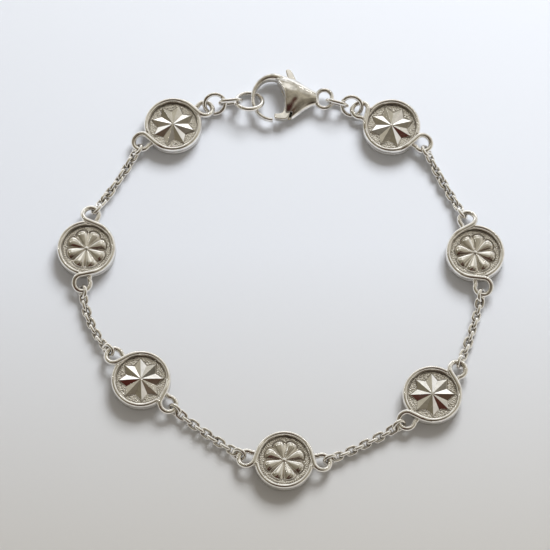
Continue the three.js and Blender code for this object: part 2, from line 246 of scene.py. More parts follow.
def surface(grid, recess=None, ring=False):
    """A closed surface from a grid of points whose columns run round.

    Its rows run on into each other if it is a ring, and are closed by a pole at each end if not. The
    faces are turned over if the volume that they enclose comes out negative.
    """
    rows, columns = grid.shape[:2]
    index = np.arange(rows * columns).reshape(rows, columns)
    here, below = (index, np.roll(index, -1, 0)) if ring else (index[:-1], index[1:])
    quads = np.stack([here, np.roll(here, -1, 1), np.roll(below, -1, 1), below], -1).reshape(-1, 4)
    points = grid.reshape(-1, 3)
    shade = np.zeros(rows * columns) if recess is None else recess.reshape(-1)
    triangles = np.zeros((0, 3), int)
    if not ring:
        points = np.concatenate([points, grid[:1].mean(1), grid[-1:].mean(1)])
        shade = np.concatenate([shade, shade[:1], shade[-1:]])
        first, last = np.full(columns, rows * columns), np.full(columns, rows * columns + 1)
        triangles = np.concatenate([
            np.stack([first, np.roll(index[0], -1), index[0]], -1),
            np.stack([last, index[-1], np.roll(index[-1], -1)], -1),
        ])
    corners = np.concatenate([quads[:, [0, 1, 2]], quads[:, [0, 2, 3]], triangles])
    a, b, c = (points[corners[:, k]] for k in range(3))
    if np.einsum("ij,ij->", a, np.cross(b, c)) < 0:
        quads, triangles = quads[:, ::-1], triangles[:, ::-1]
    return Surface(points, quads, triangles, shade)


def moved(piece, place, heading=0.0, pitch=0.0, roll=0.0):
    """A surface turned by roll, pitch and heading, then shifted to its place."""
    return piece._replace(points=turned(piece.points, heading, pitch, roll) + np.asarray(place))


def oval(sides, squareness=2.0):
    """Points round a superellipse of half axes 1: the cosine and sine of the angle, each to the power of
    2 over the squareness with its sign kept. At a squareness of 2 it is a circle."""
    angle = np.linspace(0, 2 * np.pi, sides, endpoint=False)
    return [np.sign(f(angle)) * np.abs(f(angle)) ** (2 / squareness) for f in (np.cos, np.sin)]


def wire(path, half_across, half_up, sides, ring=False, squareness=2.0, shade=0.0):
    """An oval bar along a path: each section lies square to the path, with one half size level with the
    floor and the other standing up. The side that a ring turns to its middle gets painted shade, as
    much as shade, in its recess values."""
    ahead = np.roll(path, -1, 0) - np.roll(path, 1, 0) if ring else np.gradient(path, axis=0)
    across = unit(np.cross(unit(ahead), [0, 0, 1.0]))
    up = unit(np.cross(across, ahead))
    cos, sin = oval(sides, squareness)
    half_across = np.broadcast_to(half_across, len(path))[:, None, None]
    half_up = np.broadcast_to(half_up, len(path))[:, None, None]
    sideways = across[:, None] * cos[:, None] * half_across
    grid = path[:, None] + sideways + up[:, None] * sin[:, None] * half_up
    # Painted shade on the inner side of a ring.
    recess = shade * smooth_step(-cos, 0.1, 0.9) * np.ones((len(path), 1))
    return surface(grid, recess, ring)


def oval_ring(length, width, thickness, sides, steps, shade=0.0):
    """A ring of round wire, long along X: two half circles joined by straight stretches."""
    radius, part = (width - thickness) / 2, (length - width) / 2
    angle = np.linspace(-np.pi / 2, np.pi / 2, steps // 2 + (part > 0), endpoint=part > 0)
    half = np.stack([np.cos(angle) * radius + part, np.sin(angle) * radius, 0 * angle], -1)
    path = np.concatenate([half, half * [-1, -1, 1]])
    return wire(path, thickness / 2, thickness / 2, sides, True, shade=shade)


def placed_ring(row, shift, sides, steps, shade=0.0):
    """The ring of a row of the tables, turned and shifted to its place."""
    ring = oval_ring(row.length, row.width, row.wire, sides, steps, shade)
    place = np.array([row.x, row.y, row.z]) + shift
    return moved(ring, place, np.radians(row.heading), 0, np.radians(row.roll))


def mesh_of(name, pieces, scale):
    """One mesh of several surfaces, with their recess values as a point attribute."""
    starts = np.cumsum([0] + [len(p.points) for p in pieces[:-1]])
    faces = []
    for piece, start in zip(pieces, starts):
        faces += (piece.quads + start).tolist() + (piece.triangles + start).tolist()
    mesh = bpy.data.meshes.new(name)
    mesh.from_pydata(np.concatenate([p.points for p in pieces]) * scale, [], faces)
    recess = mesh.attributes.new("recess", "FLOAT", "POINT")
    recess.data.foreach_set("value", np.concatenate([p.recess for p in pieces]).astype(np.float32))
    mesh.shade_smooth()
    return mesh


def new_object(name, mesh):
    """An object at the origin that shows a mesh, a light or a camera."""
    made = bpy.data.objects.new(name, mesh)
    bpy.context.scene.collection.objects.link(made)
    return made


def finish_piece(name, mesh, node, body, material):
    """Puts a mesh in the scene in place of a node of the frame."""
    made = new_object(name, mesh)
    mesh.materials.append(material)
    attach(made, body)
    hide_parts(node)


def flat_centre(node):
    """Middle of a medallion's flat back, in millimetres: the mean of its corners on the floor."""
    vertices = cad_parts[node].data.vertices
    points = np.zeros(len(vertices) * 3)
    vertices.foreach_get("co", points)
    points = np.round(points.reshape(-1, 3) / MM, 3)
    return np.unique(points[points[:, 2] < 0.01], axis=0).mean(0)


# From the tables' millimetres to the frame: the loop's box was centred after it was drawn.
SHIFT = flat_centre(STATIONS[3].node) - [STATIONS[3].x, STATIONS[3].y, 0]


# ------ shader
class Field:
    """An output socket with Python's arithmetic: each operation on it adds a Math node."""

    def __init__(self, nodes, socket):
        self.nodes = nodes
        self.socket = socket

    def _math(self, operation, *values):
        inputs = dict(enumerate(values))
        return self.nodes.make("ShaderNodeMath", {"operation": operation}, inputs, "Value")

    def __add__(self, other):
        return self._math("ADD", self, other)

    def __mul__(self, other):
        return self._math("MULTIPLY", self, other)

    def __sub__(self, other):
        return self._math("SUBTRACT", self, other)

    def __rsub__(self, other):
        return self._math("SUBTRACT", other, self)

    __radd__ = __add__
    __rmul__ = __mul__


class Nodes:
    """A node tree: a method that adds any node to it, and short forms for the common ones."""

    def __init__(self, owner):
        owner.use_nodes = True
        self.tree = owner.node_tree
        self.tree.nodes.clear()

    def make(self, kind, settings=None, inputs=None, output=0):
        """Adds a node: its settings first, then the values or links of its sockets."""
        node = self.tree.nodes.new(kind)
        for key, value in (settings or {}).items():
            setattr(node, key, value)
        for key, value in (inputs or {}).items():
            if isinstance(value, Field):
                self.tree.links.new(value.socket, node.inputs[key])
            else:
                node.inputs[key].default_value = value
        return Field(self, node.outputs[output]) if len(node.outputs) else None

    def noise(self, place, scale, detail):
        """Smooth noise about 0.5: cells to the metre, and how many finer layers lie over them."""
        return self.make("ShaderNodeTexNoise", {}, {"Vector": place, "Scale": scale, "Detail": detail})

    def ramp(self, value, low, high):
        """0 at low, 1 at high, and straight between them."""
        return self.make("ShaderNodeMapRange", {}, {"Value": value, "From Min": low, "From Max": high})

    def mix(self, share, first, second):
        """The first colour at a share of 0, the second at 1; plain ones are red, green and blue."""
        first, second = [c if isinstance(c, Field) else (*c, 1) for c in (first, second)]
        settings = {"data_type": "RGBA"}
        return self.make("ShaderNodeMix", settings, {"Factor": share, "A": first, "B": second}, "Result")


# Finish of each kind of piece: gains on its roughness, hairline scratches, polishing waves and tarnish;
# the last gain also scales the painted shade of its recesses.
Finish = namedtuple("Finish", "roughness hairlines waves tarnish")
FINISHES = {
    "medallion_silver": Finish(1.1, 0.7, 0.8, 1.0),
    "chain_silver": Finish(1.0, 0.6, 0.4, 1.0),
    "ring_silver": Finish(1.0, 0.8, 0.6, 0.8),
    "clasp_silver": Finish(1.1, 0.8, 0.8, 2.8),
    "lever_silver": Finish(1.3, 1.4, 0.6, 0.9),
}


def silver(name):
    """Polished silver: slow waves of hand polishing, hairline scratches in two directions, smudges that
    dull the gloss, and the tarnish colour where the recess attribute is high: tarnish, and painted
    shade in the hollows, grooves and inner sides where shadow falls."""
    settings, finish = bpy.context.scene.bracelet_finish, FINISHES[name]
    material = bpy.data.materials.new(name)
    nodes = Nodes(material)
    place = nodes.make("ShaderNodeTexCoord", output="Object")
    recess = nodes.make("ShaderNodeAttribute", {"attribute_name": "recess"}, output="Fac")
    patches = nodes.noise(place, 900, 4)
    speckle = nodes.noise(place, 4200, 3)
    smudge = nodes.noise(place, 260, 3)
    slow = nodes.noise(place, 620, 1)
    stretched = [
        nodes.make("ShaderNodeMapping", {}, {"Vector": place, "Rotation": turn, "Scale": (1, 16, 16)})
        for turn in ((0.1, 0.2, 0.5), (0.3, -0.2, 2.2))
    ]
    lines = nodes.noise(stretched[0], 1500, 3) + nodes.noise(stretched[1], 1300, 3)
    film = nodes.ramp(patches, 0.42, 0.75) * 0.16 * finish.tarnish
    mottled = 0.65 + 0.35 * nodes.ramp(patches * 0.5 + speckle * 0.5, 0.3, 0.62)
    # Painted shade with tarnish: the recess values darken the metal towards the tarnish colour.
    painted_shade_and_grime = recess * mottled * finish.tarnish
    share = nodes.make("ShaderNodeMath", {"operation": "MAXIMUM", "use_clamp": True}, {0: film, 1: painted_shade_and_grime})
    colour = nodes.mix(share, settings.silver, settings.tarnish)
    roughness = painted_shade_and_grime * 0.28 + nodes.ramp(smudge, 0.45, 0.7) * 0.1 * finish.roughness \
        + nodes.ramp(lines, 0.95, 1.25) * 0.06 * finish.hairlines + settings.roughness * finish.roughness
    height = slow * 9 * finish.waves + lines * 0.35 * finish.hairlines \
        + speckle * recess * 1.6 + speckle * 0.15
    bump = {"Height": height, "Strength": 1.0, "Distance": 1e-6}
    normal = nodes.make("ShaderNodeBump", {}, bump, "Normal")
    shader = nodes.make("ShaderNodeBsdfPrincipled", {}, {
        "Base Color": colour, "Metallic": 1.0, "Roughness": roughness, "Normal": normal,
    })
    nodes.make("ShaderNodeOutputMaterial", {}, {"Surface": shader})
    return material


# ------ medallions
COLUMNS = 416          # a multiple of 16, so that ridges and valleys fall on columns
RAY = np.pi / 8        # half of one ray's share of the turn
GROUND = 1.25          # level on which the pebbles and the relief stand
INNER_WALL = 3.82      # radius of the rim's inner side
BACK = (1.5, 3.2)      # radii of the rows in the flat back
CUP_ARC = (0.48, 0.6)  # half axes of the wall's section, an arc from the back up to the groove
# Rim from the groove over its crest and down its inner bevel to the ground: distance in from the edge,
# and level.
RIM = np.array([
    (0.2, 1.12), (0.06, 1.26), (0.0, 1.46), (0.0, 1.72), (0.07, 1.97), (0.21, 2.13), (0.38, 2.185),
    (0.55, 2.13), (0.69, 1.97), (0.76, 1.78), (0.76, 1.6), (0.76, 1.42),
])
RIM_WIDTH = RIM[-1, 0]
GIVE = (0.05, 0.36)    # how far the rim gives way under a scroll that crosses it, inwards and down
LEAN = 0.32            # angle from the eyes' axis at which a scroll leaves the rim
GRAIN_HEIGHT = 0.05
BEAD_CIRCLE, BEAD_SIZE, BEAD_HEIGHT, BEAD_COUNT = 3.5, 0.16, 0.06, 66

# The star's tips and notches, and the flower's petals from their valleys: reach and height.
STAR_TIP, STAR_NOTCH = (3.54, 0.34), (2.52, 0.05)
PETAL_VALLEY, PETAL_LENGTH = 2.68, 0.58
PETAL_ROOT = 0.36      # height of a petal's crest beside the middle bead, and that bead's radius

EYE_RADIUS = 1.65      # outer radius of an eye
SCROLL_RUN = 0.8       # angle of the rim that a scroll's wire follows before it leaves
SCROLL_TURN = 5.0      # angle through which it swings round the eye
SCROLL_LEVELS = (1.66, 1.9)            # of its wire in the rim, and where it crosses over
SCROLL_RISE, SCROLL_FALL = (0.6, 3.2), (5.2, 8.4)    # lengths along the wire where its level changes

# Shade of what lies under its surroundings: reach in cells of the square that is compared, the most
# shade, and the depths between which it sets in.
SUNK = [(3, 0.6, 0.3, 0.5), (1, 0.2, 0.08, 0.18)]


def folded(angle, crest):
    """Angle from the nearest crest, as a share of the way to the valley beside it."""
    return np.abs((angle - crest + RAY) % (2 * RAY) - RAY) / RAY


def pebbles(x, y, pitch, seed):
    """Rounded grains: one at a random place in each square cell, and at each point the height of the
    highest of the nine nearest, 1 less the square of its distance over its reach."""
    random = np.random.default_rng(seed)
    count = 64
    place = random.uniform(0.15, 0.85, (count, count, 2))
    reach = random.uniform(0.48, 0.75, (count, count)) * pitch
    rise = random.uniform(0.55, 1.0, (count, count))
    i, j = np.floor(x / pitch).astype(int), np.floor(y / pitch).astype(int)
    height = np.zeros_like(x)
    for a, b in [(i + di, j + dj) for di in (-1, 0, 1) for dj in (-1, 0, 1)]:
        cell = a % count, b % count
        dx = x - (a + place[cell][..., 0]) * pitch
        dy = y - (b + place[cell][..., 1]) * pitch
        dome = np.clip(1 - (dx * dx + dy * dy) / reach[cell] ** 2, 0, 1)
        height = np.maximum(height, rise[cell] * dome)
    return height


def beads(radius, angle):
    """A ring of round beads: 1 less the square of the distance to the nearest over a bead's size."""
    step = 2 * np.pi / BEAD_COUNT
    off = ((angle + step / 2) % step - step / 2) * radius
    return np.clip(1 - ((radius - BEAD_CIRCLE) ** 2 + off ** 2) / BEAD_SIZE ** 2, 0, 1)


def star_rows(angle, share, top):
    """Eight-pointed star. Each half ray is a flat facet from the raised middle to a straight side that
    runs from a high tip down to a low notch; share runs from the middle to that side. Over its last
    twentieth a facet rounds off to three tenths of its height."""
    (tip, tip_height), (notch, notch_height) = STAR_TIP, STAR_NOTCH
    fold = folded(angle, 0.0)
    bend = fold * RAY
    side = tip * notch * np.sin(RAY) / (tip * np.sin(bend) + notch * np.sin(RAY - bend))
    along = side * np.sin(bend) / (notch * np.sin(RAY))
    edge = tip_height + (notch_height - tip_height) * along
    end = np.clip(1 - (np.clip(share - 0.95, 0, None) / 0.06) ** 2, 0.3, 1)
    return side, (top + (edge - top) * share) * end


def flower_rows(angle, share, top):
    """Eight petals. Along its middle a petal rises outwards and rolls off at its rounded end, and across
    it is 1 less the 2.7th power of the way to the valley beside it; a bead in the middle."""
    fold = folded(angle, RAY)
    side = PETAL_VALLEY + PETAL_LENGTH * np.sqrt(1 - 0.99 * fold ** 2)
    crest = PETAL_ROOT + (top - PETAL_ROOT) * smooth_step(share, 0.05, 0.8)
    end = np.sqrt(np.clip(1 - (np.clip(share - 0.72, 0, None) / 0.282) ** 2, 0.02, 1))
    arc = 1 - fold ** 2.7
    valley = crest * (0.5 - 0.3 * smooth_step(share, 0.3, 0.9)) * end
    petal = valley + (crest * end - valley) * arc
    bead = 0.12 + 0.4 * np.sqrt(np.clip(1 - (share * side / PETAL_ROOT) ** 2, 0, 1))
    return side, np.where(share * side < PETAL_ROOT, bead, petal)


def wrapped(angle):
    """The same angle between minus half a turn and half a turn."""
    return (angle + np.pi) % (2 * np.pi) - np.pi


def cup_rows(angle, enter, leave, settings):
    """Radius, level and recess of the rows from the back's middle to the foot of the rim's inner side.

    The back is flat and the wall of the cup is an arc, both the same all round. The rim over them
    follows a spline through its table, and gives way where a scroll crosses it. Its recess values are
    painted shade: a bell curve of the level about 1.2 darkens the groove under the rim, a weaker share
    darkens the cup's outer wall below it, and a smooth step darkens the rim's inner side.
    """
    radius, even = settings.radius / MM, np.ones_like(angle)
    arc = np.linspace(-90, 72, 15)[:, None] * np.pi / 180
    rim = spline(np.arange(len(RIM)), RIM, np.linspace(0, len(RIM) - 1, 34))
    crossed = sum(
        smooth_step(way, -0.2, -0.08) * (1 - smooth_step(way, LEAN - 0.05, LEAN + 0.3))
        for way in (wrapped(leave * angle), wrapped(-enter * (angle - np.pi))))
    inset = rim[:, :1] * settings.rim_wire / MM / RIM_WIDTH
    rim_radius = radius - inset - GIVE[0] * crossed * np.sin(np.pi * np.clip(inset / RIM_WIDTH, 0, 1))
    rim_level = rim[:, 1:] - GIVE[1] * crossed * smooth_step(rim[:, 1:], 1.3, 1.9)
    wide, tall = CUP_ARC
    radii = np.concatenate([
        np.array(BACK)[:, None] * even, (radius - wide + wide * np.cos(arc)) * even,
        rim_radius, [INNER_WALL] * even])
    levels = np.concatenate([
        np.zeros((len(BACK), 1)) * even, (tall + tall * np.sin(arc)) * even,
        rim_level, [GROUND + 0.03] * even])
    # Painted shade: the groove under the rim and the outer wall of the cup below it, where the cup is in
    # shade and mirrors its own shadow.
    groove = np.exp(-((levels - 1.2) / 0.16) ** 2) + 0.4 * (1 - smooth_step(levels, 1.1, 1.4))
    groove = np.minimum(groove, 1) * (radii > INNER_WALL + 0.2)
    # Painted shade: the rim's inner side, for its shadow and dark reflection.
    inner_side = 0.8 * (1 - smooth_step(levels, 1.6, 1.8)) * (levels > 1) * (radii < INNER_WALL + 0.05)
    return radii, levels, np.maximum(groove, inner_side)


def ground_rows(angle, side, pitch, seed):
    """Radius, level and recess of the rows of the ground, which crowd from a circle at the rim into the
    outline of the relief. The higher of the pebbles and the beads raises them, and nothing at either
    edge; the beads fade where the relief reaches out to them. What lies low between them gets tarnish
    and painted shade through its recess values."""
    start, foot = INNER_WALL - 0.03, side + 0.035
    radii = start + (foot - start) * np.linspace(0, 1, 36)[:, None]
    calm = smooth_step(start - radii, 0.0, 0.03) * smooth_step(radii - foot, 0.0, 0.05)
    grain = pebbles(radii * np.cos(angle), radii * np.sin(angle), pitch, seed)
    edging = beads(radii, angle) * smooth_step(BEAD_CIRCLE - side, -0.1, 0.35)
    raised = np.maximum(GRAIN_HEIGHT * grain, BEAD_HEIGHT * edging) * calm
    # Tarnish and painted shade in the low ground between the grains.
    return radii, GROUND + raised, 0.6 * (1 - smooth_step(raised, 0.0, 0.016))


def medallion(motif, enter, leave, settings, seed):
    """Cup, rim, ground and relief as one surface, a radius and a level for each row and column."""
    rows, top, inner = {
        "star": (star_rows, settings.star_height, 9),
        "flower": (flower_rows, settings.petal_height, 26),
    }[motif]
    angle = np.linspace(0, 2 * np.pi, COLUMNS, endpoint=False)[None]
    share = np.concatenate([np.linspace(1, 0.9, 6), np.linspace(0.87, 0.03, inner)])[:, None]
    side, height = rows(angle, share, top / MM)
    radii, levels, recess = [np.concatenate(part) for part in zip(
        cup_rows(angle, enter, leave, settings),
        ground_rows(angle, side, settings.grain / MM, seed),
        (side * share, GROUND + height, 0 * height))]
    return surface(np.stack([radii * np.cos(angle), radii * np.sin(angle), levels], -1), recess)


def scroll(side, settings):
    """The wire that leaves the rim on one side, crosses in front of the eye and swings round it to end
    against the cup: an arc of the rim, the straight line that touches both circles, an arc of the eye
    and a short way in. It lies on the rim until it has crossed, then comes down along a smooth step."""
    rim = (settings.radius - settings.rim_wire / 2) / MM
    half = settings.eye_wire / MM / 2
    eye = EYE_RADIUS - half
    lean = np.arccos((rim + eye) / EYE_REACH)
    start = np.linspace(lean + SCROLL_RUN, lean, 34)
    turn = np.linspace(np.pi + lean, np.pi + lean + SCROLL_TURN, 96)
    on_rim = rim * np.stack([np.cos(start), np.sin(start)], -1)
    on_eye = [EYE_REACH, 0] + eye * np.stack([np.cos(turn), np.sin(turn)], -1)
    crossing = on_rim[-1] + (on_eye[0] - on_rim[-1]) * np.linspace(0, 1, 22)[1:-1, None]
    ending = on_eye[-1] + ([rim - 0.1, 1.0] - on_eye[-1]) * np.linspace(0, 1, 8)[1:, None]
    path = np.concatenate([on_rim, crossing, on_eye, ending])
    run = length_along(path)
    low, high = SCROLL_LEVELS
    level = low + (high - low) * smooth_step(run, *SCROLL_RISE)
    level = level + (EYE_LEVEL - high) * smooth_step(run, *SCROLL_FALL)
    path = np.column_stack([path[:, 0], side * path[:, 1], level])
    return wire(path, half, half, 20)


def with_recesses(parts):
    """Adds to each surface's recess how far it lies under the mean level around it, seen from above, as
    painted shade with tarnish in the hollows.

    The highest point in each cell of a grid over the medallion gives its levels, each spread over the
    cells beside it so that none is empty, with the rim cut down to the height of the relief. Their
    means over a broad and a narrow square are compared with each point's own level.
    """
    cell, half = 0.07, 8.0
    count = int(2 * half / cell)
    places = [np.clip(((p.points[:, :2] + half) / cell).astype(int), 0, count - 1) for p in parts]
    levels = np.zeros((count, count))
    for part, place in zip(parts, places):
        np.maximum.at(levels, (place[:, 0], place[:, 1]), np.minimum(part.points[:, 2], GROUND + 0.5))
    levels = np.max([np.roll(levels, (i, j), (0, 1)) for i in (-1, 0, 1) for j in (-1, 0, 1)], axis=0)

    def mean(reach):
        """Mean level over a square of cells, along one axis and then the other."""
        found = levels
        for axis in (0, 1):
            found = np.mean([np.roll(found, shift, axis) for shift in range(-reach, reach + 1)], axis=0)
        return found

    means = [mean(reach) for reach, *_ in SUNK]
    made = []
    for part, (i, j) in zip(parts, [place.T for place in places]):
        level = part.points[:, 2]
        # Painted shade with tarnish: the lower a point lies below its surroundings, the darker it is
        # painted.
        under = np.max([
            most * smooth_step(around[i, j] - level, low, high)
            for around, (_, most, low, high) in zip(means, SUNK)], axis=0)
        made.append(part._replace(recess=np.maximum(part.recess, under * (level > GROUND - 0.05))))
    return made


class BRACELET_OT_medallions(bpy.types.Operator):
    """Make the seven medallions, each a cup with its rim and relief and two scrolled eyes"""
    bl_idname = "bracelet.medallions"
    bl_label = "Medallions"

    def execute(self, context):
        settings = context.scene.bracelet_medallions
        material = silver("medallion_silver")
        for number, row in enumerate(STATIONS, 1):
            parts = with_recesses([
                medallion(row.motif, row.enter, row.leave, settings, number),
                scroll(row.leave, settings),
                moved(scroll(-row.enter, settings), (0, 0, 0), np.pi),
            ])
            place = np.array([row.x, row.y, 0]) + SHIFT
            parts = [moved(part, place, np.radians(row.heading)) for part in parts]
            name = f"medallion_{number}_{row.motif}"
            finish_piece(name, mesh_of(name, parts, MM), row.node, "bracelet", material)
        return {"FINISHED"}


# ------ chain
CHAIN_END_LINK = (1.84, 2.12, 0.6)     # length between wire middles, outer width and wire
CHAIN_START = 0.45     # middle of an eye to the end link's wire
CHAIN_LEVELS = (1.1, 0.8)              # of its middle line at the eyes, and where it lies on the floor
CHAIN_FALL = (1.6, 4.2)                # distances from an eye between which it comes down
LINK_ROLLS = (0.48, 0.48 + np.pi / 2)  # of one link and the next
END_ROLL = 0.96
# Painted shade on the inner sides of links and rings, which face each other and lie in shade.
CHAIN_SHADE, RING_SHADE = 0.8, 0.5     # recess of the inner sides of links and rings


def eye_middle(row, end):
    """Middle of a medallion's eye: its reach from the medallion's middle, along the way that the loop
    runs at end 1 and against it at end -1."""
    heading = np.radians(row.heading)
    way = np.array([np.cos(heading), np.sin(heading), 0])
    return np.array([row.x, row.y, EYE_LEVEL]) + SHIFT + end * EYE_REACH * way


def chain_stretch(start, finish, bow, settings, random):
    """Links along a shallow parabola in plan that comes down from each eye to the floor, each set by the
    distance run along it and turned a quarter turn from the last, give or take a random twist."""
    wire_size, width, links = settings.wire / MM, settings.width / MM, settings.links
    t = np.linspace(0, 1, 600)[:, None]
    chord = finish - start
    sideways = unit(np.cross(chord, [0, 0, -1.0])) * bow
    route = start + chord * t + sideways * 4 * t * (1 - t)
    run = np.linalg.norm(chord) * np.minimum(t, 1 - t)[:, 0]
    high, low = CHAIN_LEVELS
    route[:, 2] = high + (low - high) * smooth_step(run, *CHAIN_FALL)
    distance = length_along(route)
    end_length, end_width, end_wire = CHAIN_END_LINK
    span = distance[-1] - 2 * CHAIN_START - 2 * end_length + (links - 1) * wire_size
    lengths = np.array([end_length] + [span / (links - 2)] * (links - 2) + [end_length])
    widths = np.array([end_width] + [width] * (links - 2) + [end_width])
    wires = np.array([end_wire] + [wire_size] * (links - 2) + [end_wire])
    middles = CHAIN_START + np.cumsum(lengths - wire_size) - lengths / 2 + wire_size
    points = np.column_stack([np.interp(middles, distance, route[:, k]) for k in range(3)])
    ahead = np.column_stack([np.interp(middles, distance, np.gradient(route[:, k])) for k in range(3)])
    ahead = unit(ahead)
    pieces = []
    for i, (point, way) in enumerate(zip(points, ahead)):
        link = oval_ring(lengths[i] + wires[i], widths[i], wires[i], 12, 32, CHAIN_SHADE)
        roll = END_ROLL if i in (0, links - 1) else LINK_ROLLS[(i + 1) % 2]
        roll = roll + random.uniform(-1, 1) * settings.twist
        pieces.append(moved(link, point, np.arctan2(way[1], way[0]), -np.arcsin(way[2]), roll))
    return pieces


class BRACELET_OT_chain(bpy.types.Operator):
    """Make the six stretches of cable chain, link by link"""
    bl_idname = "bracelet.chain"
    bl_label = "Cable chain"

    def execute(self, context):
        settings = context.scene.bracelet_chain
        material = silver("chain_silver")
        random = np.random.default_rng(11)
        for number, bow in enumerate(CHAIN_BOWS, 1):
            name = f"cable_{number}"
            start, finish = eye_middle(STATIONS[number - 1], 1), eye_middle(STATIONS[number], -1)
            mesh = mesh_of(name, chain_stretch(start, finish, bow, settings, random), MM)
            finish_piece(name, mesh, f"chain_{number}", "bracelet", material)
        return {"FINISHED"}


class BRACELET_OT_rings(bpy.types.Operator):
    """Make the jump rings, links and large ring beside the clasp"""
    bl_idname = "bracelet.rings"
    bl_label = "Rings"

    def execute(self, context):
        material = silver("ring_silver")
        for row in RINGS:
            name = f"{row.node}_wire"
            mesh = mesh_of(name, [placed_ring(row, SHIFT, 24, 96, RING_SHADE)], MM)
            finish_piece(name, mesh, row.node, "bracelet", material)
        return {"FINISHED"}


# ------ clasp
def slab(outline, low, high):
    """A flat outline raised between two levels; its two faces are single polygons."""
    outline = np.array(outline, float)
    count = len(outline)
    points = np.concatenate([np.column_stack([outline, np.full(count, z)]) for z in (low, high)])
    index = np.arange(count)
    following = np.roll(index, -1)
    sides = np.stack([index, following, following + count, index + count], -1).tolist()
    faces = sides + [index[::-1].tolist(), (index + count).tolist()]
    mesh = bpy.data.meshes.new("slab")
    mesh.from_pydata(points, [], faces)
    return new_object("slab", mesh)


def disc(centre, radius, low, high):
    """A round slab of 48 sides."""
    turn = np.linspace(0, 2 * np.pi, 48, endpoint=False)
    return slab(np.asarray(centre) + radius * np.stack([np.cos(turn), np.sin(turn)], -1), low, high)


def rounded(outline, cuts):
    """Corner cutting: each pass replaces every corner by points at a quarter of its two sides."""
    points = np.array(outline, float)
    for _ in range(cuts):
        following = np.roll(points, -1, 0)
        points = np.stack([0.75 * points + 0.25 * following, 0.25 * points + 0.75 * following], 1)
        points = points.reshape(-1, 2)
    return points


def solid_object(piece):
    """A surface as an object, still in millimetres."""
    return new_object("solid", mesh_of("solid", [piece], 1.0))


def carved(base, steps, voxel, rounding):
    """Joins and cuts a solid in turn, covers the result with even faces, polishes its edges round and
    puts it in its place in the frame, in metres."""
    for operation, tool in steps:
        cut = base.modifiers.new(operation, "BOOLEAN")
        cut.operation, cut.solver, cut.object = operation, "EXACT", tool
    cover = base.modifiers.new("cover", "REMESH")
    cover.mode, cover.voxel_size = "VOXEL", voxel
    polish = base.modifiers.new("polish", "SMOOTH")
    polish.factor, polish.iterations = 0.5, rounding
    graph = bpy.context.evaluated_depsgraph_get()
    mesh = bpy.data.meshes.new_from_object(base.evaluated_get(graph))
    if not mesh.polygons:
        raise RuntimeError("the clasp came out empty")
    for made in [base] + [tool for _, tool in steps]:
        bpy.data.objects.remove(made)
    points = np.zeros(len(mesh.vertices) * 3)
    mesh.vertices.foreach_get("co", points)
    points = (points.reshape(-1, 3) + SHIFT) * MM
    mesh.vertices.foreach_set("co", points.reshape(-1))
    mesh.shade_smooth()
    mesh.update()
    return mesh


def clasp_hook():
    """The bar of the hook round an ellipse, its width and thickness from a spline through the table."""
    angle = np.linspace(HOOK[0, 0], HOOK[-1, 0], 90)
    width, thick = spline(HOOK[:, 0], HOOK[:, 1:], angle).T
    turn = np.radians(angle)
    path = np.column_stack([
        HOOK_CENTRE[0] + HOOK_REACH[0] * np.cos(turn),
        HOOK_CENTRE[1] + HOOK_REACH[1] * np.sin(turn),
        np.full(len(turn), CLASP_LEVEL),
    ])
    return wire(path, width / 2, thick / 2, 32, squareness=HOOK_SQUARENESS)


def clasp_shell():
    """The teardrop body: upright ovals whose edges and thickness come from a spline through the table.
    Each oval's upper half leans: it rises by the lean times the distance from the middle, times the share
    (1 + sin) / 2 of the way up."""
    x = np.linspace(BODY[0, 0], BODY[-1, 0], 60)
    low, high, thick = spline(BODY[:, 0], BODY[:, 1:], x).T
    cos, sin = oval(72, BODY_SQUARENESS)
    across = ((low + high) / 2)[:, None] + ((high - low) / 2)[:, None] * cos
    level = CLASP_LEVEL + thick[:, None] / 2 * sin + BODY_LEAN * (across - HOOK_CENTRE[1]) * (1 + sin) / 2
    return surface(np.stack([x[:, None] + 0 * across, across, level], -1))


def clasp_lip():
    """The raised lip along the opening: an upright oval bar that stands a little out of the body. Its
    height follows the superellipse of the body's section, and it leans with the body's upper face."""
    path = spline(np.arange(len(LIP)), LIP, np.linspace(0, len(LIP) - 1, 80))
    off = np.clip(np.abs(path[:, 1] - HOOK_CENTRE[1]) / LIP_REACH, 0, 0.97)
    lean = BODY_LEAN * (path[:, 1] - HOOK_CENTRE[1]) / 2
    round_off = (1 - off ** BODY_SQUARENESS) ** (1 / BODY_SQUARENESS)
    path = np.column_stack([path, CLASP_LEVEL + lean])
    return wire(path, LIP_HALF_WIDTH, (LIP_HALF_HEIGHT + lean) * round_off + LIP_RISE, 24)


